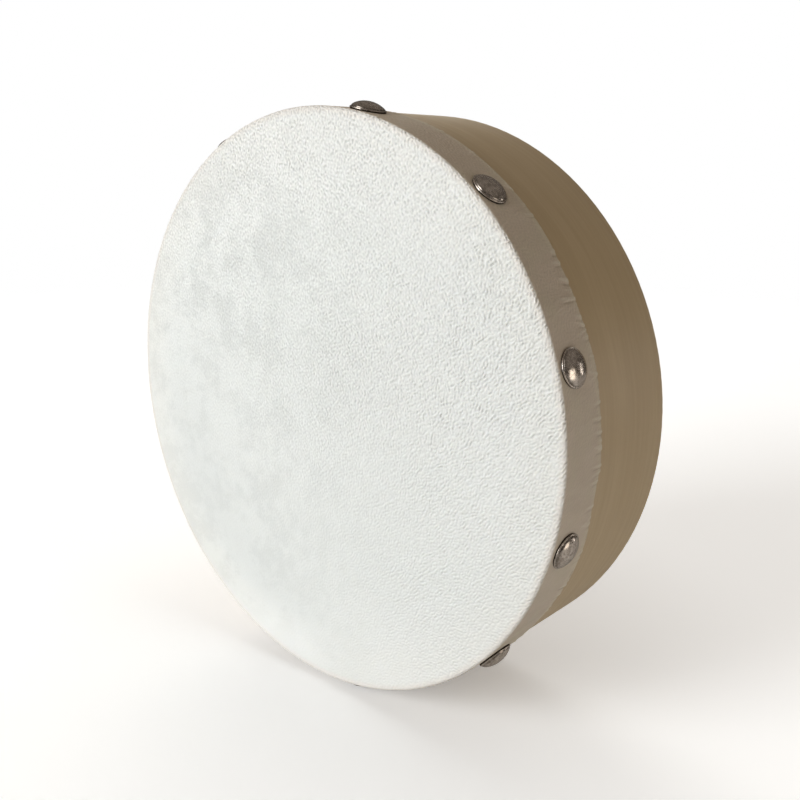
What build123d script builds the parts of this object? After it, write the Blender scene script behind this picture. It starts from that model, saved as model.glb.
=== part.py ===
"""Small nailed frame drum: a laminated hoop, one hide head wrapped over its front edge, and eleven dome-headed nails.

The drum stands on its edge. Its axis runs along Y, the head faces -Y, the open back faces +Y and +Z is up.
The origin is on the axis, half way between the head's playing face and the rear rim. Lengths are in millimetres.
Clock angles are in degrees, clockwise from the top as seen from the head, so 90 is at +X.
"""

from build123d import *
from math import cos, radians, sin, sqrt
import os

# ---- driving dimensions ----
outer_d = 150.0          # over the hide skirt
depth = 44.6             # playing face to rear rim
hide_t = 0.6             # thickness of the hide, on the face and on the skirt
skirt_w = 14.6           # how far the hide wraps back over the hoop, from the playing face
skirt_edge_r = 0.25      # rounding of the skirt's outer rear edge

outer_ply_t = 1.5        # outer veneer of the hoop
core_ply_t = 3.5         # core of the hoop
inner_ply_t = 1.5        # inner veneer of the hoop
edge_r = 0.3             # bevel on the hoop's front outer edge, and the hide's inside bend radius there
rear_bevel = 0.2         # bevel on the hoop's rear outer edge
inner_bevel = 0.6        # bevel on both inner edges

seam_gap = 0.12          # glue line where each ply closes
seam_slant = 60.0        # the seam's lean away from radial, so that the two ends lap
outer_seam_at = 284.0    # clock angle of each ply's seam
core_seam_at = 316.0
inner_seam_at = 221.0

# The nails' clock angles: set by hand, so the spacing wanders about an average of 33 degrees.
nail_angles = [11.2, 41.7, 74.2, 105.5, 133.4, 171.0, 201.0, 230.4, 260.3, 296.2, 331.5]
nail_setback = 5.7       # nail axis behind the playing face
cap_r = 4.4              # dome radius, seen end on
cap_h = 2.35             # dome height over the hide
cap_lip = 0.4            # straight wall under the dome
cap_rim_bevel = 0.12     # bevel where the wall meets the hide
cap_t = 0.32             # sheet thickness of the pressed cap
crimp_t = 0.28           # thickness of the lip crimped in under the tack head
cap_turn_r = 3.2         # radius that the crimped lip closes to
tack_head_r = 3.6
tack_head_t = 0.4
shank_r = 0.65
shank_len = 5.4          # below the cap's rim, point included
point_len = 1.8

# How far the cutting tools run past the material.
ply_hole_overrun = 1.0
hide_hole_overrun = 0.5
seam_cut_len = depth + 4
veneer_seam_reach = 6    # radial size of a seam cutter, in ply thicknesses
core_seam_reach = 5

# ---- derived radii and stations along Y ----
outer_r = outer_d / 2
hoop_r = outer_r - hide_t
core_out_r = hoop_r - outer_ply_t
core_in_r = core_out_r - core_ply_t
hoop_in_r = core_in_r - inner_ply_t
outer_ply_mid_r = (hoop_r + core_out_r) / 2
core_mid_r = (core_out_r + core_in_r) / 2
inner_ply_mid_r = (core_in_r + hoop_in_r) / 2

y_face = -depth / 2
y_front = y_face + hide_t
y_rear = depth / 2
y_hoop_mid = (y_front + y_rear) / 2
hoop_w = y_rear - y_front
y_skirt = y_face + skirt_w
y_nail = y_face + nail_setback


def side_place(angle, radius, y):
    """A place on the drum's side at a clock angle, with its z pointing outwards and its x along +Y."""
    a = radians(angle)
    origin = (radius * sin(a), y, radius * cos(a))
    return Plane(origin=origin, x_dir=(0, 1, 0), z_dir=(sin(a), 0, cos(a))).location


def seam_place(angle, radius):
    """Where a ply's seam cutter stands, leaning by seam_slant about a line parallel to the drum's axis."""
    return side_place(angle, radius, y_hoop_mid) * Location((0, 0, 0), (seam_slant, 0, 0))


nail_places = [side_place(angle, outer_r, y_nail) for angle in nail_angles]
point_places = [side_place(angle, outer_r - shank_len, y_nail) for angle in nail_angles]

# ---- hoop: three bent plies, each a strip closed at its own slanted seam ----
# The sections are drawn with x as the radius and y along the drum's axis.
with BuildPart() as shell_outer_ply:
    with BuildSketch(Plane.XY) as outer_section:
        with Locations((outer_ply_mid_r, y_hoop_mid)):
            Rectangle(outer_ply_t, hoop_w)
        front_corner = outer_section.vertices().group_by(Axis.X)[-1].sort_by(Axis.Y)[0]
        chamfer(front_corner, edge_r)
        rear_corner = outer_section.vertices().group_by(Axis.X)[-1].sort_by(Axis.Y)[-1]
        chamfer(rear_corner, rear_bevel)
    revolve(axis=Axis.Y)
    with Locations(*nail_places):
        Hole(shank_r, depth=outer_r - core_out_r + ply_hole_overrun)
    with Locations(seam_place(outer_seam_at, outer_ply_mid_r)):
        Box(seam_cut_len, seam_gap, outer_ply_t * veneer_seam_reach, mode=Mode.SUBTRACT)

# The nails end inside the core, so its holes are blind and pointed.
with BuildPart() as shell_core_ply:
    with BuildSketch(Plane.XY):
        with Locations((core_mid_r, y_hoop_mid)):
            Rectangle(core_ply_t, hoop_w)
    revolve(axis=Axis.Y)
    with Locations(*nail_places):
        Hole(shank_r, depth=shank_len - point_len)
    with Locations(*point_places):
        Cone(
            0.0,
            shank_r,
            point_len,
            align=(Align.CENTER, Align.CENTER, Align.MIN),
            mode=Mode.SUBTRACT,
        )
    with Locations(seam_place(core_seam_at, core_mid_r)):
        Box(seam_cut_len, seam_gap, core_ply_t * core_seam_reach, mode=Mode.SUBTRACT)

with BuildPart() as shell_inner_ply:
    with BuildSketch(Plane.XY) as inner_section:
        with Locations((inner_ply_mid_r, y_hoop_mid)):
            Rectangle(inner_ply_t, hoop_w)
        chamfer(inner_section.vertices().group_by(Axis.X)[0], inner_bevel)
    revolve(axis=Axis.Y)
    with Locations(seam_place(inner_seam_at, inner_ply_mid_r)):
        Box(seam_cut_len, seam_gap, inner_ply_t * veneer_seam_reach, mode=Mode.SUBTRACT)

# ---- head: one hide, flat across the front and wrapped back over the hoop ----
bend_r = edge_r + hide_t  # outside radius of the hide's bend
face_end = (outer_r - bend_r, y_face)
outer_bend_end = (outer_r, y_face + bend_r)
inner_bend_start = (hoop_r, y_front + edge_r)
inner_bend_end = (hoop_r - edge_r, y_front)

with BuildPart() as drum_head:
    with BuildSketch(Plane.XY) as hide_section:
        with BuildLine():
            Line((0, y_face), face_end)
            RadiusArc(face_end, outer_bend_end, -bend_r)
            Polyline(outer_bend_end, (outer_r, y_skirt), (hoop_r, y_skirt), inner_bend_start)
            RadiusArc(inner_bend_start, inner_bend_end, edge_r)
            Polyline(inner_bend_end, (0, y_front), (0, y_face))
        make_face()
        skirt_corner = hide_section.vertices().group_by(Axis.Y)[-1].sort_by(Axis.X)[-1]
        fillet(skirt_corner, skirt_edge_r)
    revolve(axis=Axis.Y)
    with Locations(*nail_places):
        Hole(shank_r, depth=hide_t + hide_hole_overrun)

# ---- nails: a pressed dome cap crimped over the head of a tack ----
# One nail is drawn about Z, with the hide's surface at z = 0 and its point at -Z.
dome_h = cap_h - cap_lip
dome_r = (cap_r**2 + dome_h**2) / (2 * dome_h)  # sphere through the wall's top and the crown
dome_z = cap_h - dome_r                         # centre of that sphere
under_r = dome_r - cap_t                        # sphere of the cap's underside
under_reach = sqrt(under_r**2 - (crimp_t - dome_z) ** 2)  # where the underside meets the lip


def on_dome(sphere_r, reach):
    """The point at half the reach from the nail's axis, on a sphere of this radius about the dome's centre."""
    return (reach / 2, dome_z + sqrt(sphere_r**2 - (reach / 2) ** 2))


with BuildPart() as nail_cap:
    with BuildSketch(Plane.XZ):
        with BuildLine():
            Polyline(
                (cap_turn_r, 0),
                (cap_r - cap_rim_bevel, 0),
                (cap_r, cap_rim_bevel),
                (cap_r, cap_lip),
            )
            ThreePointArc((cap_r, cap_lip), on_dome(dome_r, cap_r), (0, cap_h))
            Line((0, cap_h), (0, cap_h - cap_t))
            ThreePointArc((0, cap_h - cap_t), on_dome(under_r, under_reach), (under_reach, crimp_t))
            Polyline((under_reach, crimp_t), (cap_turn_r, crimp_t), (cap_turn_r, 0))
        make_face()
    revolve(axis=Axis.Z)

tack_top = crimp_t + tack_head_t  # the tack head rests on the crimped lip

with BuildPart() as nail_shank:
    with BuildSketch(Plane.XZ):
        with BuildLine():
            Polyline(
                (0, -shank_len),
                (shank_r, point_len - shank_len),
                (shank_r, crimp_t),
                (tack_head_r, crimp_t),
                (tack_head_r, tack_top),
                (0, tack_top),
                (0, -shank_len),
            )
        make_face()
    revolve(axis=Axis.Z)

with BuildPart() as nail_caps:
    with Locations(*nail_places):
        add(nail_cap.part)

with BuildPart() as nail_shanks:
    with Locations(*nail_places):
        add(nail_shank.part)

# ---- one STEP per piece ----
pieces = {
    "shell_outer_ply": shell_outer_ply,
    "shell_core_ply": shell_core_ply,
    "shell_inner_ply": shell_inner_ply,
    "drum_head": drum_head,
    "nail_caps": nail_caps,
    "nail_shanks": nail_shanks,
}
os.makedirs("parts", exist_ok=True)
for name, piece in pieces.items():
    piece.part.label = name
    export_step(piece.part, f"parts/{name}.step")
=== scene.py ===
"""A drum: a hide stretched over a hoop of three plies, wrapped back over its edge and nailed.

The drum's axis is Y and the playing face looks towards -Y, with +Z up. Clock angles run from the
top towards +X. Left and right are as seen from the front, so right is +X.
"""
import math

import bpy
import numpy as np
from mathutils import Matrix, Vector, noise


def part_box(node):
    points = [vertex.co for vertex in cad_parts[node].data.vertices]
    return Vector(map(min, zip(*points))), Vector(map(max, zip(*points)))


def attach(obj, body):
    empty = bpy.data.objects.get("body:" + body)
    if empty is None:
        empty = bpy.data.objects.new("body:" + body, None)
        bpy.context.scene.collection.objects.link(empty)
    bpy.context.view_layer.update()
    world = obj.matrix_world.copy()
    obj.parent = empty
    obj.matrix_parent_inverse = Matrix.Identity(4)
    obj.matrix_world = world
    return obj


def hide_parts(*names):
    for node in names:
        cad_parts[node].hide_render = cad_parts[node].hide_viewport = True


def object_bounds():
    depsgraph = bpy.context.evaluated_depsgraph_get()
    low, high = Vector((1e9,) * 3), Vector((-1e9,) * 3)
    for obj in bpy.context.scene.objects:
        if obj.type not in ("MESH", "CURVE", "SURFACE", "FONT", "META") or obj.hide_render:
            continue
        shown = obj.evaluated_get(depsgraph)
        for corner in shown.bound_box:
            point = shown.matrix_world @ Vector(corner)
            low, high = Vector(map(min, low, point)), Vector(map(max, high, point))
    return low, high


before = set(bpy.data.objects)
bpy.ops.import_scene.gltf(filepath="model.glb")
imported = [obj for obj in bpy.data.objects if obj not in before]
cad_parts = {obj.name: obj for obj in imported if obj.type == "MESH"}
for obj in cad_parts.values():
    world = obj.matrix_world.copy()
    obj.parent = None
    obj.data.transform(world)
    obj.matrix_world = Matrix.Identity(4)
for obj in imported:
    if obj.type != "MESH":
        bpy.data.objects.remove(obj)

cad_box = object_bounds()
MM = 0.001
TURN = 2 * math.pi
rng = np.random.default_rng(1207)

# --------------------------------------------------------------------------------------------------
# Sizes, all from the CAD model
# --------------------------------------------------------------------------------------------------


def points(name):
    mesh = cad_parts[name].data
    co = np.empty(len(mesh.vertices) * 3, np.float32)
    mesh.vertices.foreach_get("co", co)
    return co.reshape(-1, 3).astype(float)


def radii(co):
    """Distances from the drum's axis."""
    return np.hypot(co[:, 0], co[:, 2])


head_low, head_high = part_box("drum_head")
hoop = points("shell_outer_ply")
HEAD_R = float(radii(points("drum_head")).max())
FACE_Y = head_low.y
SKIRT_Y = head_high.y
HOOP_R = float(radii(hoop).max())
HOOP_FRONT = float(hoop[:, 1].min())
HOOP_REAR = float(hoop[:, 1].max())
HIDE_T = HEAD_R - HOOP_R
BEND_R = 0.3 * MM + HIDE_T          # outside radius where the hide turns over the hoop's edge
HIDE_GAP = 0.012 * MM               # between the hide and the hoop
NAIL_GAP = 8                        # degrees; a wider gap separates two caps


def find_nails():
    """Each cap's clock angle, its place along Y and its radius, from the CAD caps."""
    co = points("nail_caps")
    angle = np.degrees(np.arctan2(co[:, 0], co[:, 2])) % 360
    order = np.argsort(angle)
    angle, co = angle[order], co[order]
    gap = np.diff(np.append(angle, angle[0] + 360))
    groups = np.split(np.arange(len(angle)), np.where(gap > NAIL_GAP)[0] + 1)
    # A cap that straddles the top is split between the first and last groups.
    if len(groups) > 1 and (angle[0] + 360 - angle[-1]) < NAIL_GAP:
        groups = [np.concatenate([groups[-1], groups[0]])] + groups[1:-1]
    found = []
    for group in groups:
        if not len(group):              # left by a gap that falls at the top
            continue
        cap = co[group]
        front, rear = cap[:, 1].min(), cap[:, 1].max()
        clock = math.atan2(cap[:, 0].mean(), cap[:, 2].mean())
        found.append((clock, float((front + rear) / 2), float((rear - front) / 2)))
    return sorted(found, key=lambda nail: nail[0] % TURN)


nails = find_nails()
CAP_R = nails[0][2]
CAP_H = float(radii(points("nail_caps")).max()) - HEAD_R

# --------------------------------------------------------------------------------------------------
# Mesh helpers
# --------------------------------------------------------------------------------------------------


def make_object(name, verts, faces, smooth=True):
    mesh = bpy.data.meshes.new(name)
    mesh.from_pydata([tuple(v) for v in verts], [], [tuple(f) for f in faces])
    mesh.validate()
    mesh.update()
    if smooth:
        mesh.polygons.foreach_set("use_smooth", [True] * len(mesh.polygons))
    obj = bpy.data.objects.new(name, mesh)
    bpy.context.scene.collection.objects.link(obj)
    return obj


def point_attribute(obj, name, values):
    data = obj.data.attributes.new(name, "FLOAT", "POINT")
    data.data.foreach_set("value", np.asarray(values, np.float32))


def zip_rings(inner, inner_angles, outer, outer_angles):
    """Triangles between two closed rings of vertices, each in rising angle."""
    faces = []
    inner_count, outer_count = len(inner), len(outer)
    i = j = 0
    while i < inner_count or j < outer_count:
        next_i, next_j = (i + 1) % inner_count, (j + 1) % outer_count
        inner_next = inner_angles[next_i] + (TURN if i + 1 >= inner_count else 0)
        outer_next = outer_angles[next_j] + (TURN if j + 1 >= outer_count else 0)
        if j >= outer_count or (i < inner_count and inner_next <= outer_next + 1e-9):
            faces.append((inner[i % inner_count], inner[next_i], outer[j % outer_count]))
            i += 1
        else:
            faces.append((inner[i % inner_count], outer[next_j], outer[j % outer_count]))
            j += 1
    return faces


def smoothstep(low, high, x):
    t = np.clip((np.asarray(x, float) - low) / (high - low), 0, 1)
    return t * t * (3 - 2 * t)


def perlin(co, scale, seed):
    """Perlin noise at points in metres, with scale in cells per metre."""
    shift = Vector((seed * 7.31, seed * 3.17, seed * 5.53))
    return np.array([noise.noise(Vector(p) * scale + shift) for p in co])


# --------------------------------------------------------------------------------------------------
# The hide: one closed skin, flat over the front, bent over the hoop's edge and wrapped back to a
# hand-cut edge
# --------------------------------------------------------------------------------------------------

FACE_CELLS = 208                    # across the flat face
RING_POINTS = 1200                  # round the wrapped part
BEND_STEPS = 8
SKIRT_STEPS = 21
LIP_STEPS = 5                       # round the thickness at the cut edge
TURN_BACK_STEPS = 3                 # round the inside of the bend
LIP = 0.30 * MM                     # depth of the rounding at the cut edge
FLESH_Y = HOOP_FRONT - HIDE_GAP
OUTSIDE, FLESH = 0, 1               # material slots

ring_angles = np.arange(RING_POINTS) * TURN / RING_POINTS
# The circle on which noise round the ring is sampled, 75 mm in radius.
noise_circle = np.stack(
    [np.sin(ring_angles), np.cos(ring_angles), np.zeros(RING_POINTS)], 1) * 0.075

# Clock angle in degrees, and how far back from the playing face the hide is cut there, in mm.
CUT_KNOTS = np.array([
    (0, 14.5), (11, 14.2), (22, 14.7), (33, 14.3), (46, 14.55), (53, 14.5), (56.9, 14.1),
    (63.3, 13.95), (67, 14.05), (75.3, 14.9), (82.5, 14.4), (92.4, 14.7), (94.0, 13.9),
    (99.7, 13.7), (106, 14.95), (113, 15.4), (120.5, 14.9), (131, 14.2), (143, 14.6),
    (156, 14.0), (168, 14.4), (181, 14.9), (190, 14.2), (204, 14.6), (215, 13.9), (228, 14.7),
    (240, 14.3), (251, 15.0), (263, 14.4), (270, 13.9), (284, 14.5), (297, 14.9), (309, 14.2),
    (322, 14.6), (336, 14.1), (348, 14.8), (360, 14.5),
])

# Rings of the flesh side, from the rim inwards: points round, radius reached in mm, rings.
FLESH_RINGS = ((400, 40.0, 12), (200, 20.0, 10), (100, 9.0, 7), (50, 3.0, 4))

# Pleats: small folds that run along the axis from the cut edge and die out forwards.
# Clock angle in degrees, half width in mm, length in mm, height in mm, lean in mm per mm of length.
pleats = [
    (rng.uniform(0, 360), rng.uniform(0.24, 0.60), rng.uniform(2.0, 6.5),
     rng.uniform(0.05, 0.17), rng.uniform(-0.35, 0.35))
    for _ in range(150)
]
pleats += [
    (63.4, 0.42, 9.5, 0.26, 0.05), (60.1, 0.50, 4.2, 0.18, 0.10), (69.8, 0.5, 5.0, 0.16, -0.06),
    (83.5, 0.40, 6.0, 0.22, 0.08), (88.2, 0.42, 5.5, 0.20, 0.0), (91.6, 0.36, 6.4, 0.24, 0.05),
    (80.8, 0.36, 5.0, 0.20, -0.1), (85.9, 0.36, 4.4, 0.18, 0.12), (94.2, 0.40, 5.4, 0.18, -0.08),
    (98.7, 0.50, 5.5, 0.18, -0.04), (118.2, 0.5, 5.0, 0.16, 0.03), (57.0, 0.45, 5.0, 0.16, 0.0),
    (116.0, 0.36, 5.2, 0.18, 0.1), (121.4, 0.4, 4.6, 0.16, -0.1), (47.5, 0.4, 5.6, 0.16, 0.06),
    (197.0, 0.45, 8.5, 0.24, 0.04), (265.2, 0.5, 7.0, 0.22, 0.02), (322.6, 0.45, 8.0, 0.24, -0.05),
]


def cut_edge():
    """Y of the cut edge round the ring."""
    width = np.interp(np.degrees(ring_angles), CUT_KNOTS[:, 0], CUT_KNOTS[:, 1])
    width = width + 0.10 * perlin(noise_circle, 190, seed=3)
    width = width + 0.05 * perlin(noise_circle, 700, seed=4)
    return FACE_Y + width * MM


def hide_relief(y, cut):
    """Height of the wrapped hide above a plain cylinder round the ring, in mm."""
    back = (cut - y) / MM               # mm in front of the cut edge
    relief = np.zeros_like(y)
    for at, wide, long, high, lean in pleats:
        turned = (np.degrees(ring_angles) - at + 180) % 360 - 180
        arc = np.radians(turned) * HEAD_R / MM + lean * back
        near = np.abs(arc) < 4 * wide
        fade = 1 - smoothstep(long * 0.25, long, back[near])
        body = np.exp(-((arc[near] / wide) ** 2))
        trough = np.exp(-(((arc[near] - 1.7 * wide) / (1.1 * wide)) ** 2))
        relief[near] += high * fade * (body - 0.45 * trough)
    # Each nail presses the hide down round its rim and raises a soft ring beyond.
    for at, nail_y, cap_radius in nails:
        turned = (ring_angles - at + math.pi) % TURN - math.pi
        beyond = np.hypot(turned * HEAD_R, y - nail_y) / MM - cap_radius / MM
        relief -= 0.03 * np.exp(-(((beyond - 0.1) / 0.7) ** 2))
        relief += 0.05 * np.exp(-(((beyond - 1.9) / 1.1) ** 2))
    return relief


class Skin:
    """The hide's vertices, faces and material slots as they are built up."""

    def __init__(self):
        self.verts, self.faces, self.slots = [], [], []

    def add(self, rows):
        start = len(self.verts)
        self.verts.extend(rows)
        return list(range(start, len(self.verts)))

    def ring(self, radius, y, angles=ring_angles):
        x, z = radius * np.sin(angles), radius * np.cos(angles)
        return self.add(zip(*np.broadcast_arrays(x, y, z)))

    def add_faces(self, faces, slot=OUTSIDE):
        self.faces += faces
        self.slots += [slot] * len(faces)

    def join(self, first, second, slot=OUTSIDE):
        """Quads between two rings of as many points."""
        count = len(first)
        self.add_faces([
            (first[k], first[(k + 1) % count], second[(k + 1) % count], second[k])
            for k in range(count)
        ], slot)


def add_face(skin):
    """The flat playing face, an even grid mapped on to a disc. Gives its rim and rim angles."""
    disc_r = HEAD_R - BEND_R - 0.45 * MM
    last = FACE_CELLS
    side = np.linspace(-1, 1, last + 1)
    u, v = np.meshgrid(side, side, indexing="ij")
    safe_u = np.where(np.abs(u) < 1e-12, 1e-12, u)
    safe_v = np.where(np.abs(v) < 1e-12, 1e-12, v)
    beside = np.abs(u) > np.abs(v)
    reach = np.where(beside, u, v)
    theta = np.where(
        beside, math.pi / 4 * v / safe_u, math.pi / 2 - math.pi / 4 * u / safe_v)
    x, z = reach * np.cos(theta) * disc_r, reach * np.sin(theta) * disc_r
    flat = zip(x.ravel(), np.full(x.size, FACE_Y), z.ravel())
    ids = np.array(skin.add(flat)).reshape(u.shape)
    skin.add_faces([
        (ids[i, j], ids[i + 1, j], ids[i + 1, j + 1], ids[i, j + 1])
        for i in range(last) for j in range(last)
    ])
    rim = [ids[i, 0] for i in range(last)] + [ids[last, j] for j in range(last)]
    rim += [ids[last - i, last] for i in range(last)] + [ids[0, last - j] for j in range(last)]
    angles = np.array([math.atan2(skin.verts[k][0], skin.verts[k][2]) % TURN for k in rim])
    angles = np.where(angles > TURN - 1e-7, 0, angles)
    order = np.argsort(angles)
    return [rim[k] for k in order], angles[order]


def add_wrap(skin):
    """The bend, the skirt, its cut edge and its inside. Gives all the rings, front one first."""
    cut = cut_edge()
    rows = [skin.ring(HEAD_R - BEND_R, FACE_Y)]
    wander = 0.035 * perlin(noise_circle, 120, seed=9) * MM
    for k in range(1, BEND_STEPS + 1):
        t = math.pi / 2 * k / BEND_STEPS
        radius = HEAD_R - BEND_R + BEND_R * math.sin(t) + wander * math.sin(2 * t)
        rows.append(skin.ring(radius, FACE_Y + BEND_R - BEND_R * math.cos(t)))
    for k in range(1, SKIRT_STEPS + 1):
        t = 1 - (1 - k / SKIRT_STEPS) ** 1.25       # closer together towards the cut edge
        y = (FACE_Y + BEND_R) + t * (cut - LIP - FACE_Y - BEND_R)
        rows.append(skin.ring(HEAD_R + hide_relief(y, cut) * MM, y))
    lift = hide_relief(cut - LIP, cut) * MM
    for k in range(1, LIP_STEPS + 1):               # rounded thickness at the cut edge
        t = math.pi / 2 * k / LIP_STEPS
        half = (HIDE_T + lift) / 2
        fade = 1 - 0.5 * k / LIP_STEPS
        radius = HEAD_R + lift - half * (1 - math.cos(t)) * 2 * fade
        rows.append(skin.ring(radius, cut - LIP + LIP * math.sin(t)))
    rows.append(skin.ring(HOOP_R + HIDE_GAP, cut - 0.03 * MM))
    rows.append(skin.ring(HOOP_R + HIDE_GAP, FACE_Y + BEND_R))
    inside = BEND_R - HIDE_T + HIDE_GAP
    for k in range(1, TURN_BACK_STEPS + 1):
        t = math.pi / 2 * (1 - k / TURN_BACK_STEPS)
        radius = HEAD_R - BEND_R + inside * math.sin(t)
        rows.append(skin.ring(radius, FACE_Y + BEND_R - inside * math.cos(t)))
    for first, second in zip(rows[:-1], rows[1:]):
        skin.join(first, second)
    return rows


def add_flesh_side(skin, edge):
    """Flesh side of the playing area, seen through the open back, coarser towards the middle."""
    previous, previous_angles = edge, ring_angles
    start = HEAD_R - BEND_R
    for count, stop, rings in FLESH_RINGS:
        angles = np.arange(count) * TURN / count
        for k in range(1, rings + 1):
            ring = skin.ring(start + (stop * MM - start) * k / rings, FLESH_Y, angles)
            if len(previous) == count:
                skin.join(previous, ring, FLESH)
            else:
                triangles = zip_rings(ring, angles, previous, previous_angles)
                skin.add_faces([tuple(reversed(f)) for f in triangles], FLESH)
            previous, previous_angles = ring, angles
        start = stop * MM
    middle = skin.add([(0.0, FLESH_Y, 0.0)])[0]
    count = len(previous)
    skin.add_faces([(previous[i], previous[(i + 1) % count], middle) for i in range(count)], FLESH)


def raise_relief(co, outer_count):
    """Uneven surface of the face and the bend, which come first in co, and of the flesh side."""
    outer = co[:outer_count]
    from_axis = radii(outer)
    calm = 1 - 0.6 * smoothstep(HEAD_R - 3 * MM, HEAD_R - 1 * MM, from_axis)
    slow = perlin(outer, 34, seed=1) * 0.045 + perlin(outer, 85, seed=2) * 0.018
    fine = perlin(outer, 430, seed=5) * 0.006
    fine += perlin(outer * np.array([1, 1, 1.35]), 620, seed=6) * 0.007
    depth = (slow * calm + fine) * MM
    bent = np.clip((from_axis - (HEAD_R - BEND_R)) / BEND_R, 0, 1)
    normal = outer / np.maximum(from_axis, 1e-9)[:, None] * bent[:, None]
    normal[:, 1] = -np.sqrt(1 - np.minimum(bent, 0.999) ** 2)
    outer += normal * depth[:, None]

    flesh = (np.abs(co[:, 1] - FLESH_Y) < 1e-7) & (radii(co) < HOOP_R - 8 * MM)
    co[flesh, 1] += perlin(co[flesh], 60, seed=8) * 0.03 * MM + 0.02 * MM


def build_hide():
    skin = Skin()
    rim, rim_angles = add_face(skin)
    rows = add_wrap(skin)
    skin.add_faces(zip_rings(rim, rim_angles, rows[0], ring_angles))
    add_flesh_side(skin, rows[-1])

    co = np.array(skin.verts, float)
    raise_relief(co, rows[BEND_STEPS][-1] + 1)
    obj = make_object("hide_skin", co, skin.faces)

    # Height of the skirt above the plain cylinder, in mm, to paint shade and highlight on the folds
    # by.
    fold = np.zeros(len(co))
    skirt = (radii(co) > HOOP_R + 0.2 * MM) & (co[:, 1] > FACE_Y + BEND_R)
    fold[skirt] = np.clip((radii(co)[skirt] - HEAD_R) / MM, -0.3, 0.3)
    point_attribute(obj, "fold", fold)
    # Validating the mesh may have dropped faces.
    polygons = obj.data.polygons
    polygons.foreach_set("material_index", skin.slots[: len(polygons)])
    return obj


# --------------------------------------------------------------------------------------------------
# Nail caps: pressed domes with a rolled rim, hollow underneath, each driven slightly differently
# --------------------------------------------------------------------------------------------------

DOME_STEPS = 22
UNDERSIDE_POINTS = 10
CAP_POINTS = 72                     # round the cap
# All in mm.
CAP_EDGE = CAP_R / MM
CAP_TOP = CAP_H / MM - 0.25
CAP_SHEET = 0.16                    # thickness
NECK_R = CAP_EDGE - 0.36            # where the dome meets the groove inside the rolled rim
NECK_Z = 0.66
ROLL_R = 0.20                       # section of the rolled rim
ROLL_Z = 0.36


def dome_height(t):
    """A pressed dome, fuller at the shoulder than a plain cap of a sphere."""
    return 0.60 * math.cos(t) ** 2 + 0.40 * math.cos(t)


def cap_profile():
    """From the top of the dome out over the rolled rim, under it and back inside.

    Gives rows of radius, height and a painted shade and grime mask, and the roll's own angle in
    degrees for the rows on the rim. The mask is 0 on most of the dome, about 0.65 in the groove
    and 1 at the foot.
    """
    rise = CAP_TOP - NECK_Z
    rows = [(0.0, CAP_TOP, 0.0)]
    for k in range(1, DOME_STEPS + 1):
        t = math.pi / 2 * (k / DOME_STEPS) ** 0.9
        radius = NECK_R * math.sin(t)
        mask = 0.6 * float(smoothstep(CAP_EDGE - 1.5, NECK_R, radius))
        rows.append((radius, NECK_Z + rise * dome_height(t), mask))
    rows += [(NECK_R + 0.02, 0.585, 0.66), (NECK_R + 0.055, 0.545, 0.70)]
    roll = {}
    for degrees in range(128, -60, -17):
        roll[len(rows)] = degrees
        t = math.radians(degrees)
        radius = CAP_EDGE - ROLL_R + ROLL_R * math.cos(t)
        rows.append((radius, ROLL_Z + ROLL_R * math.sin(t), 0.0))
    rows += [                           # the foot and the inside of the rim
        (CAP_EDGE - 0.13, 0.05, 1.0), (CAP_EDGE - 0.26, 0.0, 1.0),
        (3.26, 0.0, 1.0), (3.20, 0.05, 1.0), (3.20, 0.23, 1.0), (3.26, 0.28, 1.0),
        (CAP_EDGE - 0.62 - 0.1, 0.28, 1.0), (CAP_EDGE - 0.62, 0.32, 1.0),
        (NECK_R - CAP_SHEET - 0.04, 0.60, 0.5),
    ]
    for k in range(UNDERSIDE_POINTS):
        t = math.pi / 2 * (1 - k / (UNDERSIDE_POINTS - 1)) * 0.985
        height = NECK_Z + (rise - CAP_SHEET) * dome_height(t)
        rows.append(((NECK_R - CAP_SHEET) * math.sin(t), height, 0.0))
    return rows, roll


def driven_height(z, along, across, lean, dents):
    """Height of a cap's point once dented, leaned and bedded down on the skirt, in mm."""
    height = z
    for angle, radius, width, depth in dents:
        gap = math.hypot(along - radius * math.cos(angle), across - radius * math.sin(angle))
        height -= depth * math.exp(-((gap / width) ** 2))
    height += (lean[0] * along + lean[1] * across) * min(1, z / 1.2)
    # The rim follows the round of the skirt.
    drop = (across * MM) ** 2 / (2 * HEAD_R) / MM
    height -= drop * (1 - min(1, max(0, (z - 0.2) / 1.6)))
    return height - 0.13 * (1 - min(1, z / 0.5))


def cap_faces(rings):
    faces = []
    for first, second in zip(rings[:-1], rings[1:]):
        for k in range(CAP_POINTS):
            n = (k + 1) % CAP_POINTS
            if len(first) == 1:
                faces.append((first[0], second[k], second[n]))
            elif len(second) == 1:
                faces.append((first[k], second[0], first[n]))
            else:
                faces.append((first[k], second[k], second[n], first[n]))
    return faces


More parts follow.
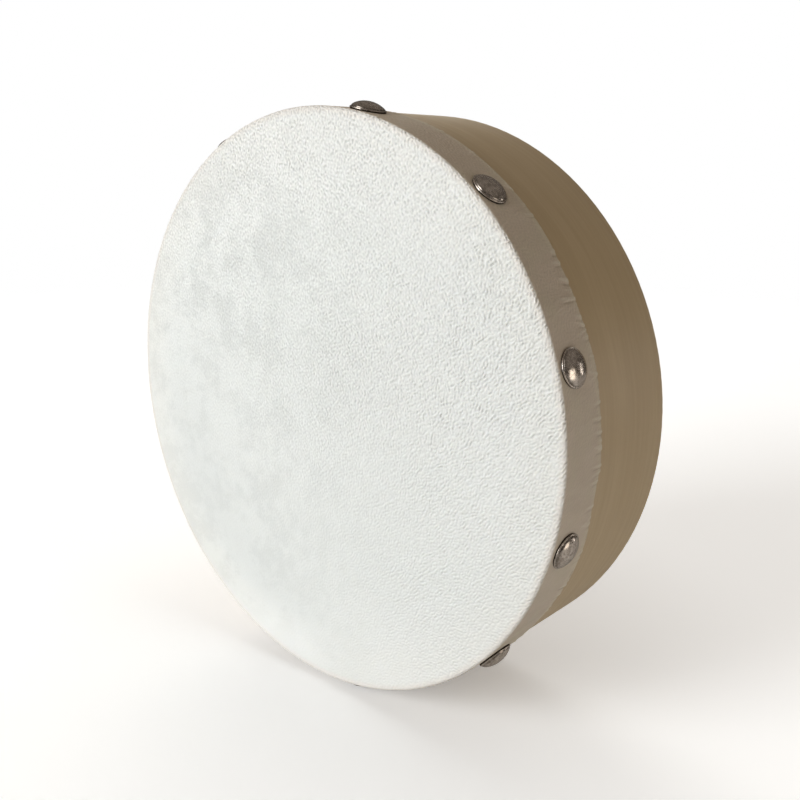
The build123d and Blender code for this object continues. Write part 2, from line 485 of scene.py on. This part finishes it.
def build_nails():
    profile, roll = cap_profile()
    verts, faces, painted_shade_and_grime = [], [], []
    axis = np.array([0.0, 1.0, 0.0])
    for index, (clock, nail_y, _) in enumerate(nails):
        outward = np.array([math.sin(clock), 0, math.cos(clock)])
        sideways = np.cross(outward, axis)
        base = outward * HEAD_R + axis * nail_y
        lean = rng.uniform(-0.035, 0.035, 2)
        # Angle, radius, width and depth.
        dents = [
            (rng.uniform(0, TURN), rng.uniform(0.8, 3.4),
             rng.uniform(0.4, 0.9), rng.uniform(0.003, 0.010))
            for _ in range(5)
        ]
        rings = []
        for row, (radius, z, mask) in enumerate(profile):
            count = 1 if radius == 0.0 else CAP_POINTS
            rings.append(range(len(verts), len(verts) + count))
            for k in range(count):
                t = TURN * k / CAP_POINTS
                wobble = 1 + 0.004 * math.sin(2 * t + index) + 0.003 * math.sin(3 * t + 2 * index)
                along = radius * wobble * math.cos(t)
                across = radius * wobble * math.sin(t)
                height = driven_height(
                    z, along, across, lean, dents if row <= DOME_STEPS else ())
                local = axis * along + sideways * across + outward * height
                verts.append(tuple(base + local * MM))
                if row in roll:         # painted shade and grime climb the roll, higher towards the drum's back
                    climb = 4 + 14 * (1 + math.cos(t))
                    mask = 0.80 + 0.20 * float(smoothstep(-9, 9, climb - roll[row]))
                painted_shade_and_grime.append(mask)
        faces += cap_faces(rings)
    obj = make_object("nail_domes", verts, faces)
    point_attribute(obj, "rim", painted_shade_and_grime)
    return obj


# --------------------------------------------------------------------------------------------------
# Node trees
# --------------------------------------------------------------------------------------------------


class Graph:
    """Shorthand for building the node tree of a material or a world."""

    def __init__(self, owner):
        self.owner = owner
        owner.use_nodes = True
        self.tree = owner.node_tree
        self.tree.nodes.clear()

    def add(self, kind, inputs=None, **settings):
        node = self.tree.nodes.new(kind)
        for key, value in settings.items():
            setattr(node, key, value)
        for key, value in (inputs or {}).items():
            socket = node.inputs[key]
            if isinstance(value, bpy.types.NodeSocket):
                self.tree.links.new(value, socket)
            elif socket.type == "RGBA" and len(value) == 3:
                socket.default_value = (*value, 1.0)
            else:
                socket.default_value = value
        return node

    def math(self, operation, a, b=0.0, c=0.0):
        return self.add("ShaderNodeMath", {0: a, 1: b, 2: c}, operation=operation).outputs[0]

    def plus(self, a, b):
        return self.math("ADD", a, b)

    def minus(self, a, b):
        return self.math("SUBTRACT", a, b)

    def times(self, a, b):
        return self.math("MULTIPLY", a, b)

    def moved(self, vector, offset):
        node = self.add("ShaderNodeVectorMath", {0: vector, 1: offset}, operation="ADD")
        return node.outputs[0]

    def scaled(self, vector, factors):
        node = self.add("ShaderNodeVectorMath", {0: vector, 1: factors}, operation="MULTIPLY")
        return node.outputs[0]

    def shifted(self, vector, by, amount):
        inputs = {0: by, 1: (amount,) * 3, 2: vector}
        return self.add("ShaderNodeVectorMath", inputs, operation="MULTIPLY_ADD").outputs[0]

    def noise(self, vector, scale, detail=2.0, rough=0.5, output="Fac"):
        inputs = {"Vector": vector, "Scale": scale, "Detail": detail, "Roughness": rough}
        return self.add("ShaderNodeTexNoise", inputs).outputs[output]

    def voronoi(self, vector, scale, feature):
        node = self.add("ShaderNodeTexVoronoi", {"Vector": vector, "Scale": scale}, feature=feature)
        return node.outputs["Distance"]

    def gabor(self, vector, scale, frequency, anisotropy, angle):
        node = self.add("ShaderNodeTexGabor", {
            "Vector": vector, "Scale": scale, "Frequency": frequency, "Anisotropy": anisotropy,
        }, gabor_type="2D")
        # Two inputs are called Orientation; the 2D kind takes the plain number.
        turn = next(s for s in node.inputs if s.name == "Orientation" and s.type == "VALUE")
        self.tree.links.new(angle, turn)
        return node.outputs["Value"]

    def ramp(self, value, between, to=(0.0, 1.0), kind="SMOOTHSTEP"):
        return self.add("ShaderNodeMapRange", {
            "Value": value, "From Min": between[0], "From Max": between[1],
            "To Min": to[0], "To Max": to[1],
        }, interpolation_type=kind, clamp=True).outputs["Result"]

    def mix(self, factor, under, over, blend="MIX"):
        inputs = {0: factor, 6: under, 7: over}
        return self.add("ShaderNodeMix", inputs, data_type="RGBA", blend_type=blend,
                        clamp_factor=True).outputs[2]

    def tint(self, under, over, mask, amount):
        """Lays one colour over another, by a mask times an amount."""
        return self.mix(self.times(mask, amount), under, over)

    def bump(self, height, distance, strength):
        inputs = {"Height": height, "Distance": distance, "Strength": strength}
        return self.add("ShaderNodeBump", inputs).outputs[0]

    def place(self):
        return self.add("ShaderNodeTexCoord").outputs["Object"]

    def attribute(self, name):
        node = self.add("ShaderNodeAttribute", attribute_name=name, attribute_type="GEOMETRY")
        return node.outputs["Fac"]

    def ray(self, kind):
        return self.add("ShaderNodeLightPath").outputs[kind]

    def split(self, vector):
        return self.add("ShaderNodeSeparateXYZ", {0: vector}).outputs

    def combine(self, x, y, z):
        return self.add("ShaderNodeCombineXYZ", {0: x, 1: y, 2: z}).outputs[0]

    def hypot(self, a, b):
        return self.math("SQRT", self.plus(self.times(a, a), self.times(b, b)))

    def radius(self, vector):
        """Distance from the drum's axis."""
        x, _, z = self.split(vector)
        return self.hypot(x, z)

    def finish(self, shader, output="ShaderNodeOutputMaterial"):
        self.add(output, {"Surface": shader})
        return self.owner

    def principled(self, inputs):
        return self.finish(self.add("ShaderNodeBsdfPrincipled", inputs).outputs[0])


def new_material(name):
    return Graph(bpy.data.materials.new(name))


# --------------------------------------------------------------------------------------------------
# Materials. Places in them are in metres, noise scales in cells per metre.
# --------------------------------------------------------------------------------------------------

GRAIN_WAY = math.radians(-12)       # the way across the grain, at the middle of the face
GRAIN_TURN = math.radians(-450)     # and how it turns per metre from upper left to lower right
BLACK = (0.0, 0.0, 0.0)


def hide_ridges(g, p, x, y, z):
    """Short ridges a little over a millimetre apart, drawn out along a direction that turns.

    They're laid out on the flat of the hide, so that they run on over the edge without a break.
    """
    r = g.radius(p)
    unrolled = g.plus(r, g.minus(y, FACE_Y))
    spread = g.math("DIVIDE", unrolled, g.math("MAXIMUM", r, 0.001))
    flat = g.combine(g.times(x, spread), g.times(z, spread), 0.0)
    warp = g.noise(p, scale=420, rough=0.55, output="Color")
    ridge = g.gabor(
        g.shifted(flat, by=warp, amount=0.0006),
        scale=760,
        frequency=g.ramp(g.minus(x, z), between=(-0.04, 0.09), to=(1.26, 1.52)),
        anisotropy=g.ramp(g.minus(x, z), between=(-0.05, 0.07), to=(0.08, 0.62)),
        angle=g.math("MULTIPLY_ADD", g.minus(x, z), GRAIN_TURN, GRAIN_WAY),
    )
    other = g.noise(g.shifted(p, by=warp, amount=0.001), scale=1500, detail=1)
    return g.plus(g.times(ridge, 1.0), g.times(other, 0.5))


def hide_grain_strength(g, p, x, z, wrap):
    """Smoothest towards the lower left of the face, and faint on the wrapped part."""
    lean = g.ramp(g.plus(x, z), between=(-0.088, 0.004), to=(0.24, 1.16))
    slope = g.math("MULTIPLY_ADD", z, 7.0, g.math("MULTIPLY_ADD", x, 3.2, 0.96))
    patch = g.ramp(g.noise(p, scale=30), between=(0.3, 0.7), to=(0.82, 1.18))
    strength = g.times(g.times(lean, slope), patch)
    return g.times(strength, g.ramp(wrap, between=(0, 1), to=(1.0, 0.30)))


def hide_face_colour(g, p, x, z):
    """Nearly white, with cool and warm clouds, and cream towards the rim."""
    cloud = g.ramp(g.noise(p, scale=21, detail=3, rough=0.55), between=(0.32, 0.68))
    fleck = g.ramp(g.noise(p, scale=170, detail=3, rough=0.6), between=(0.35, 0.7))
    white = g.mix(cloud, (0.842, 0.864, 0.842), (0.856, 0.871, 0.851))
    white = g.tint(white, (0.822, 0.839, 0.811), fleck, amount=0.16)
    # The skin's own cloudiness shows through on the left, where the light is flattest.
    mottle = g.ramp(g.noise(p, scale=46, detail=6, rough=0.80), between=(0.42, 0.58))
    left = g.ramp(x, between=(-0.032, 0.040), to=(0.66, 0.0))
    deep = g.times(left, g.ramp(z, between=(-0.060, 0.015), to=(1.45, 1.0)))
    white = g.tint(white, (0.715, 0.736, 0.718), deep, amount=mottle)
    white = g.tint(white, (0.925, 0.945, 0.925), left, amount=g.minus(1.0, mottle))
    # The middle of the playing face is a little greyer.
    strayed = g.shifted(p, by=g.noise(p, scale=14, output="Color"), amount=0.046)
    away_from_middle = g.ramp(g.radius(strayed), between=(0.030, 0.082))
    white = g.tint(white, (0.786, 0.810, 0.792), g.minus(1.0, away_from_middle), amount=0.50)
    rim = g.ramp(g.radius(p), between=(0.058, HEAD_R))
    white = g.tint(white, (0.872, 0.862, 0.812), rim, amount=0.45)
    # Paler at the top and the bottom, except towards the left.
    ends = g.times(
        g.ramp(g.math("ABSOLUTE", z), between=(0.034, 0.072)),
        g.ramp(g.math("MULTIPLY_ADD", z, 0.5, x), between=(-0.050, 0.0)))
    white = g.tint(white, (0.925, 0.930, 0.905), ends, amount=0.60)
    # Painted shade: greyer at the lower left, short of the rim.
    lower_left_painted_shade = g.times(
        g.ramp(g.plus(x, z), between=(-0.100, -0.030), to=(1.0, 0.0)),
        g.ramp(g.radius(p), between=(0.057, 0.068), to=(1.0, 0.0)))
    white = g.tint(white, (0.735, 0.760, 0.745), lower_left_painted_shade, amount=0.55)
    # Pale at the very bottom, left of the middle.
    foot = g.times(
        g.ramp(z, between=(-0.055, -0.072)), g.ramp(x, between=(0.012, -0.014)))
    white = g.tint(white, (0.950, 0.962, 0.945), foot, amount=0.80)
    # Warm where it turns over the hoop's edge.
    warm = g.ramp(g.radius(p), between=(HEAD_R - 2.4 * MM, HEAD_R - 0.5 * MM))
    return g.tint(white, (0.850, 0.795, 0.735), warm, amount=0.60)


def hide_skirt_colour(g, p, y, z):
    """The wrapped part, darker than the face, with stains, streaks and folds in painted shade and
    highlight.
    """
    tone = g.noise(p, scale=60, detail=3, rough=0.6)
    skirt = g.mix(tone, (0.692, 0.599, 0.497), (0.808, 0.711, 0.605))
    stain = g.noise(g.scaled(p, (1.0, 0.35, 1.0)), scale=210, detail=3, rough=0.6)
    stain = g.ramp(stain, between=(0.45, 0.75))
    skirt = g.tint(skirt, (0.623, 0.528, 0.427), stain, amount=0.35)
    # Streaks along the axis, where the hide was pulled.
    pull = g.noise(g.scaled(p, (1.0, 0.05, 1.0)), scale=200, detail=3, rough=0.62)
    pull = g.ramp(pull, between=(0.36, 0.66))
    skirt = g.tint(skirt, (0.610, 0.520, 0.425), pull, amount=0.20)
    # Painted shade: darker and warmer towards the top of the skirt.
    top = g.ramp(z, between=(0.050, 0.068))
    skirt = g.tint(skirt, (0.590, 0.480, 0.360), top, amount=0.42)
    olive = g.ramp(g.noise(p, scale=95, detail=3, rough=0.6), between=(0.42, 0.66))
    skirt = g.tint(skirt, (0.700, 0.655, 0.500), olive, amount=0.30)
    # The cut edge is raw and paler, with glue browned into its end here and there.
    edge = g.ramp(y, between=(SKIRT_Y - 2.6 * MM, SKIRT_Y - 0.7 * MM))
    skirt = g.tint(skirt, (0.840, 0.775, 0.620), edge, amount=0.42)
    glue = g.times(
        g.ramp(y, between=(SKIRT_Y - 1.0 * MM, SKIRT_Y + 0.2 * MM)),
        g.ramp(g.noise(p, scale=240, detail=3, rough=0.6), between=(0.48, 0.62)))
    skirt = g.tint(skirt, (0.430, 0.330, 0.220), glue, amount=0.55)
    # Painted shade in the troughs and a painted highlight on the crests: troughs are darker and
    # crests are paler.
    fold = g.attribute("fold")
    trough = g.ramp(fold, between=(-0.015, -0.085), to=(0.0, 0.40))
    skirt = g.mix(trough, skirt, (0.400, 0.325, 0.245))
    crest_painted_highlight = g.ramp(fold, between=(0.04, 0.15), to=(0.0, 0.50))
    return g.mix(crest_painted_highlight, skirt, (0.900, 0.850, 0.740))


def hide_material():
    g = new_material("hide_grain")
    p = g.place()
    x, y, z = g.split(p)
    wrap = g.ramp(y, between=(FACE_Y + 0.22 * MM, FACE_Y + 0.85 * MM))
    grain = hide_ridges(g, p, x, y, z)
    strength = hide_grain_strength(g, p, x, z, wrap)
    colour = g.mix(wrap, hide_face_colour(g, p, x, z), hide_skirt_colour(g, p, y, z))
    # The grain shades the colour as well as the surface: painted shade in its hollows and a painted
    # highlight on its ridges, on top of the bump.
    painted_grain_shading = g.ramp(grain, between=(0.47, 1.03), to=(0.868, 1.116), kind="LINEAR")
    painted_grain_shading = g.plus(1.0, g.times(g.minus(painted_grain_shading, 1.0), strength))
    grey = g.add("ShaderNodeCombineColor", {0: painted_grain_shading, 1: painted_grain_shading, 2: painted_grain_shading}).outputs[0]
    height = g.plus(grain, g.times(g.noise(p, scale=3600, rough=0.6), 0.10))
    return g.principled({
        "Base Color": g.mix(1.0, colour, grey, blend="MULTIPLY"),
        "Roughness": g.ramp(g.noise(p, scale=300), between=(0.3, 0.7), to=(0.50, 0.64)),
        "Normal": g.bump(height, distance=g.times(strength, 0.000220), strength=1.0),
        "Specular IOR Level": 0.30,
        "Subsurface Weight": 0.06,
        "Subsurface Radius": (1.0, 0.85, 0.65),
        "Subsurface Scale": 0.0003,
    })


def flesh_material():
    g = new_material("hide_flesh_side")
    p = g.place()
    warp = g.noise(p, scale=60, output="Color")
    flow = g.shifted(g.scaled(p, (1.0, 1.0, 0.35)), by=warp, amount=0.012)
    fibre = g.noise(flow, scale=420, detail=4, rough=0.62)
    cloud = g.ramp(g.noise(p, scale=24, detail=4, rough=0.6), between=(0.3, 0.72))
    colour = g.mix(cloud, (0.80, 0.735, 0.615), (0.87, 0.82, 0.715))
    fibres = g.ramp(fibre, between=(0.42, 0.72), to=(0.0, 0.45))
    colour = g.mix(fibres, colour, (0.71, 0.63, 0.50))
    vein = g.voronoi(flow, scale=46, feature="DISTANCE_TO_EDGE")
    veins = g.ramp(vein, between=(0.0, 0.05), to=(0.16, 0.0))
    return g.principled({
        "Base Color": g.mix(veins, colour, (0.60, 0.50, 0.38)),
        "Roughness": 0.78,
        "Normal": g.bump(fibre, distance=0.00016, strength=0.8),
        "Specular IOR Level": 0.2,
    })


def veneer_material(name, light, dark, seed, coat):
    """Wood whose grain runs round the hoop. The seed moves the pattern."""
    g = new_material(name)
    p = g.moved(g.place(), BLACK)
    x, y, z = g.split(p)
    run = g.combine(x, g.plus(y, g.radius(p)), z)
    run = g.moved(run, (seed * 0.31, seed * 0.17, seed * 0.23))
    wave = g.noise(g.scaled(run, (22, 40, 22)), scale=1, output="Color")
    bent = g.shifted(g.scaled(run, (1.0, 1.0, 1.0)), by=wave, amount=0.004)
    band = g.noise(g.scaled(bent, (9, 120, 9)), scale=1, detail=3, rough=0.55)
    streak = g.noise(g.scaled(bent, (42, 900, 42)), scale=1, detail=4, rough=0.62)
    fleck = g.noise(g.scaled(run, (330, 3600, 330)), scale=1)
    pores = g.ramp(fleck, between=(0.60, 0.74))
    cloud = g.noise(run, scale=17)
    tone = g.plus(g.times(band, 0.55), g.plus(g.times(streak, 0.38), g.times(cloud, 0.22)))
    colour = g.mix(g.ramp(tone, between=(0.40, 0.76)), dark, light)
    colour = g.tint(colour, tuple(c * 0.72 for c in dark), pores, amount=0.16)
    # Worn paler in patches along the rear edge.
    worn = g.times(
        g.ramp(y, between=(HOOP_REAR - 1.1 * MM, HOOP_REAR - 0.1 * MM)),
        g.ramp(g.noise(p, scale=160, detail=3, rough=0.6), between=(0.4, 0.62)))
    colour = g.tint(colour, tuple(min(1, c * 1.22) for c in light), worn, amount=0.35)
    height = g.minus(g.times(streak, 0.6), g.times(pores, 0.5))
    return g.principled({
        "Base Color": colour,
        "Roughness": g.ramp(streak, between=(0.35, 0.7), to=(0.50, 0.40)),
        "Normal": g.bump(height, distance=0.00005, strength=0.7),
        "Specular IOR Level": 0.42,
        "Coat Weight": coat,
        "Coat Roughness": 0.32,
        "Coat IOR": 1.45,
    })


def core_material():
    """The middle ply, seen only as a band on the rim, where its end grain shows."""
    g = new_material("core_end_grain")
    p = g.place()
    x, _, z = g.split(p)
    r = g.radius(p)
    pore = g.voronoi(g.scaled(p, (1.0, 0.4, 1.0)), scale=2600, feature="F1")
    fine = g.noise(p, scale=1500, detail=3, rough=0.65)
    cloud = g.noise(p, scale=90, detail=3, rough=0.6)
    rays = g.noise(g.combine(x, g.times(r, 0.12), z), scale=700)
    tone = g.plus(g.times(fine, 0.4), g.plus(g.times(cloud, 0.35), g.times(rays, 0.3)))
    tone = g.ramp(tone, between=(0.38, 0.72))
    colour = g.mix(tone, (0.335, 0.235, 0.140), (0.52, 0.385, 0.245))
    pores = g.ramp(pore, between=(0.05, 0.22), to=(0.55, 0.0))
    colour = g.mix(pores, colour, (0.17, 0.11, 0.065))
    # A thin dark glue line against each veneer.
    ply = radii(points("shell_core_ply"))
    for line in (float(ply.min()) + 0.05 * MM, float(ply.max()) - 0.05 * MM):
        away = g.math("ABSOLUTE", g.minus(r, line))
        glue = g.ramp(away, between=(0.02 * MM, 0.16 * MM), to=(0.75, 0.0))
        colour = g.mix(glue, colour, (0.14, 0.085, 0.05))
    height = g.minus(fine, g.ramp(pore, between=(0.05, 0.22), to=(0.8, 0.0)))
    return g.principled({
        "Base Color": colour,
        "Roughness": 0.68,
        "Normal": g.bump(height, distance=0.00008, strength=0.8),
        "Specular IOR Level": 0.3,
    })


def nail_material():
    g = new_material("dark_nickel")
    p = g.place()
    rim = g.attribute("rim")
    cloud = g.noise(p, scale=620, detail=3, rough=0.6)
    scratch = g.noise(g.scaled(p, (1.0, 5.0, 2.2)), scale=2000, detail=3, rough=0.7)
    warp = g.noise(p, scale=900, detail=1, output="Color")
    mottle = g.noise(g.shifted(p, by=warp, amount=0.0006), scale=1300, detail=3, rough=0.65)
    spots = g.ramp(g.noise(p, scale=1700, rough=0.6), between=(0.60, 0.76))
    cloudy = g.ramp(cloud, between=(0.35, 0.68))
    colour = g.mix(cloudy, (0.546, 0.475, 0.413), (0.731, 0.649, 0.578))
    dull = g.ramp(mottle, between=(0.42, 0.66), to=(0.0, 0.65))
    colour = g.mix(dull, colour, (0.235, 0.195, 0.160))
    colour = g.tint(colour, (0.13, 0.10, 0.08), spots, amount=0.5)
    # Painted shade, with some grime, sits in the groove inside the rolled rim and round its foot.
    groove = g.times(g.ramp(rim, between=(0.50, 0.62)), g.ramp(rim, between=(0.80, 0.70)))
    foot = g.ramp(rim, between=(0.93, 0.985))
    painted_shade_and_dirt = g.math("MAXIMUM", g.times(groove, 0.45), g.times(foot, 0.97))
    colour = g.mix(painted_shade_and_dirt, colour, (0.052, 0.040, 0.031))
    # Painted dark reflection: the colour turns dark brown where the dome turns away from the view,
    # standing in for the dark surroundings it mirrors there.
    away = g.add("ShaderNodeLayerWeight", {"Blend": 0.5}).outputs["Facing"]
    painted_dark_reflection = g.ramp(away, between=(0.76, 0.97), to=(0.0, 0.80))
    colour = g.mix(painted_dark_reflection, colour, (0.095, 0.074, 0.058))
    # Rougher in the spots, at the foot and on the rim.
    rim_rough = g.ramp(rim, between=(0.70, 0.80), to=(0.0, 0.04))
    rough = g.plus(g.times(spots, 0.2), g.plus(g.times(foot, 0.35), rim_rough))
    rough = g.plus(g.ramp(scratch, between=(0.35, 0.75), to=(0.19, 0.33)), rough)
    height = g.plus(g.times(scratch, 0.30), g.times(mottle, 0.30))
    height = g.plus(g.noise(p, scale=780), height)
    return g.principled({
        "Base Color": colour,
        "Metallic": 1.0,
        "Roughness": rough,
        "Normal": g.bump(height, distance=0.000014, strength=1.0),
    })


def tack_material():
    g = new_material("drawn_steel")
    lines = g.noise(g.scaled(g.place(), (1.0, 0.2, 1.0)), scale=3000, detail=3, rough=0.6)
    return g.principled({
        "Base Color": g.mix(lines, (0.44, 0.44, 0.45), (0.60, 0.60, 0.61)),
        "Metallic": 1.0,
        "Roughness": g.ramp(lines, between=(0.3, 0.7), to=(0.28, 0.42)),
    })


def floor_material():
    """Pale and matt, fading to clear far out."""
    g = new_material("pale_floor")
    p = g.place()
    x, y, _ = g.split(p)
    r = g.hypot(x, y)
    tone = g.ramp(g.noise(p, scale=9), between=(0.3, 0.7))
    colour = g.mix(tone, (0.86, 0.86, 0.855), (0.875, 0.875, 0.87))
    colour = g.tint(colour, BLACK, g.ray("Is Glossy Ray"), amount=0.20)
    # Less light comes back off the floor behind the head than in front of it.
    behind = g.ramp(y, between=(-0.015, 0.05), to=(0.0, 0.22))
    colour = g.tint(colour, BLACK, g.ray("Is Diffuse Ray"), amount=behind)
    matt = g.add("ShaderNodeBsdfDiffuse", {"Color": colour, "Roughness": 0.5})
    # A glow for the camera only, weaker near the drum, where it paints a soft shadow round the
    # place it stands.
    strength = g.ramp(r, between=(0.0, 0.14), to=(0.24, 0.46))
    strength = g.times(g.ray("Is Camera Ray"), strength)
    glow = g.add("ShaderNodeEmission", {"Color": (1.0, 1.0, 1.0), "Strength": strength})
    lit = g.add("ShaderNodeAddShader", {0: matt.outputs[0], 1: glow.outputs[0]})
    clear = g.add("ShaderNodeBsdfTransparent")
    fade = g.ramp(r, between=(0.14, 0.95))
    blend = g.add("ShaderNodeMixShader", {"Fac": fade, 1: lit.outputs[0], 2: clear.outputs[0]})
    return g.finish(blend.outputs[0])


def assign(obj, *materials):
    obj.data.materials.clear()
    for material in materials:
        obj.data.materials.append(material)


def dress(name, material):
    """Gives a CAD node that stays on show a better material."""
    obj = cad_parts[name]
    if not obj.material_slots:
        obj.data.materials.append(material)
    for slot in obj.material_slots:
        slot.material = material


# --------------------------------------------------------------------------------------------------
# The drum
# --------------------------------------------------------------------------------------------------

hide = build_hide()
assign(hide, hide_material(), flesh_material())
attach(hide, "root")
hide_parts("drum_head")

domes = build_nails()
assign(domes, nail_material())
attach(domes, "root")
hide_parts("nail_caps")

dress("shell_outer_ply", veneer_material(
    "outer_veneer", light=(0.679, 0.535, 0.340), dark=(0.609, 0.468, 0.284), seed=1, coat=0.10))
dress("shell_inner_ply", veneer_material(
    "inner_veneer", light=(0.650, 0.520, 0.350), dark=(0.575, 0.445, 0.285), seed=2, coat=0.0))
dress("shell_core_ply", core_material())
dress("nail_shanks", tack_material())

# --------------------------------------------------------------------------------------------------
# Floor and world
# --------------------------------------------------------------------------------------------------

FLOOR_Z = min(cad_box[0].z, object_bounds()[0].z)
FLOOR_RADII = np.geomspace(0.05, 2.4, 26)
FLOOR_POINTS = 96                   # round each ring


def build_floor():
    count = FLOOR_POINTS
    verts = [(0.0, 0.0, FLOOR_Z)]
    for r in FLOOR_RADII:
        for k in range(count):
            angle = TURN * k / count
            verts.append((r * math.cos(angle), r * math.sin(angle), FLOOR_Z))
    faces = [(0, 1 + k, 1 + (k + 1) % count) for k in range(count)]
    for i in range(len(FLOOR_RADII) - 1):
        near, far = 1 + i * count, 1 + (i + 1) * count
        for k in range(count):
            n = (k + 1) % count
            faces.append((near + k, far + k, far + n, near + n))
    obj = make_object("studio_floor", verts, faces, smooth=False)
    assign(obj, floor_material())


def build_world():
    """White to the camera, a dim room to reflections and a warm ambient light to all else."""
    world = bpy.data.worlds.new("studio")
    bpy.context.scene.world = world
    g = Graph(world)

    def background(colour, strength):
        inputs = {"Color": colour, "Strength": strength}
        return g.add("ShaderNodeBackground", inputs).outputs[0]

    # The room is brighter below and above than round the horizon.
    direction = g.split(g.add("ShaderNodeTexCoord").outputs["Generated"])
    height = g.math("MULTIPLY_ADD", direction[2], 0.5, 0.5)
    ramp = g.add("ShaderNodeValToRGB", {0: height})
    stops = ramp.color_ramp.elements
    stops[0].position = 0.30
    stops[0].color = (0.20, 0.165, 0.14, 1)
    stops[1].position = 0.78
    stops[1].color = (0.29, 0.262, 0.232, 1)
    stops.new(0.5).color = (0.085, 0.07, 0.06, 1)

    path = g.add("ShaderNodeLightPath").outputs
    ambient = background((1.0, 0.858, 0.694), 0.199)
    room = background(ramp.outputs[0], 0.66)
    seen = background((1.0, 1.0, 1.0), 1.0)
    unseen = g.add("ShaderNodeMixShader", {0: path["Is Glossy Ray"], 1: ambient, 2: room})
    surface = g.add("ShaderNodeMixShader", {
        0: path["Is Camera Ray"], 1: unseen.outputs[0], 2: seen,
    })
    g.finish(surface.outputs[0], output="ShaderNodeOutputWorld")


build_floor()
build_world()

# --------------------------------------------------------------------------------------------------
# Lights
# --------------------------------------------------------------------------------------------------

CENTRE = (0.0, 0.0, 0.0)
COOL = (0.949, 0.978, 1.0)


def softbox(name, place, target, size, watts, colour, glossy=True, diffuse=True):
    data = bpy.data.lights.new(name, "AREA")
    data.shape = "RECTANGLE"
    data.size, data.size_y = size
    data.energy = watts
    data.color = colour
    obj = bpy.data.objects.new(name, data)
    bpy.context.scene.collection.objects.link(obj)
    obj.location = place
    direction = Vector(target) - Vector(place)
    obj.rotation_mode = "QUATERNION"
    obj.rotation_quaternion = direction.to_track_quat("-Z", "Y")
    obj.visible_camera = False
    obj.visible_glossy = glossy
    obj.visible_diffuse = diffuse
    return obj


softbox("key", place=(-0.36, -1.02, 0.34), target=CENTRE,
        size=(0.60, 0.60), watts=9.5, colour=COOL)
softbox("low_key", place=(-0.62, -0.74, 0.16), target=(0.0, 0.0, -0.02),
        size=(0.40, 0.40), watts=0.214, colour=COOL)
softbox("overhead", place=(-0.10, 0.05, 0.85), target=CENTRE,
        size=(0.80, 0.80), watts=0.15, colour=(1.0, 0.88, 0.72), glossy=False)
softbox("right_fill", place=(0.60, -0.06, 0.02), target=(0.07, 0.0, -0.03),
        size=(0.26, 0.12), watts=0.17, colour=(1.0, 0.924, 0.826), glossy=False)
softbox("back_fill", place=(-0.28, 0.85, 0.35), target=CENTRE,
        size=(0.60, 0.40), watts=0.6, colour=(1.0, 1.0, 1.0), glossy=False)
softbox("edge_light", place=(-0.78, 0.45, 0.50), target=CENTRE,
        size=(0.60, 0.50), watts=4.8, colour=(1.0, 0.985, 0.96), glossy=False)
softbox("right_window", place=(0.348, 0.029, -0.024), target=(0.074, -0.017, 0.016),
        size=(0.115, 0.205), watts=0.150, colour=(1.0, 0.94, 0.84), diffuse=False)
softbox("far_window", place=(0.42, 0.46, 0.03), target=(0.07, 0.0, 0.0),
        size=(0.034, 0.20), watts=0.13, colour=(1.0, 0.97, 0.92), diffuse=False)
softbox("front_glow", place=(-0.30, -0.85, 0.95), target=CENTRE,
        size=(1.30, 0.50), watts=1.3, colour=(1.0, 0.98, 0.95), diffuse=False)

# A low sheen from behind, on the outer ply and the hide only.
sheen = softbox("sheen", place=(-0.64, 0.79, 0.29), target=(0.0, 0.0, 0.06),
                size=(0.50, 0.18), watts=0.36, colour=(1.0, 0.98, 0.94), diffuse=False)
sheen_on = bpy.data.collections.new("sheen_on")
sheen_on.objects.link(hide)
sheen_on.objects.link(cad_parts["shell_outer_ply"])
sheen.light_linking.receiver_collection = sheen_on

# --------------------------------------------------------------------------------------------------
# Camera and picture settings
# --------------------------------------------------------------------------------------------------

# The camera's place from the middle of the playing face, in head radii, and where it looks from.
CAMERA_X, CAMERA_Y, CAMERA_Z = 2.2569, -2.1058, 0.8021
AZIMUTH = math.radians(41.50)       # from -Y towards +X
ELEVATION = math.radians(13.98)

camera_data = bpy.data.cameras.new("camera")
camera = bpy.data.objects.new("camera", camera_data)
bpy.context.scene.collection.objects.link(camera)
camera_data.lens = 41.627
camera_data.sensor_width = 36.0
camera_data.sensor_fit = "HORIZONTAL"
camera_data.clip_start, camera_data.clip_end = 0.01, 20.0
camera.location = (CAMERA_X * HEAD_R, FACE_Y + CAMERA_Y * HEAD_R, CAMERA_Z * HEAD_R)
backward = Vector((
    math.sin(AZIMUTH) * math.cos(ELEVATION),
    -math.cos(AZIMUTH) * math.cos(ELEVATION),
    math.sin(ELEVATION),
))
camera.rotation_mode = "QUATERNION"
camera.rotation_quaternion = (-backward).to_track_quat("-Z", "Y")
bpy.context.scene.camera = camera

settings = bpy.context.scene.view_settings
settings.view_transform = "Standard"
settings.look = "None"
settings.exposure = 0.0
settings.gamma = 1.0
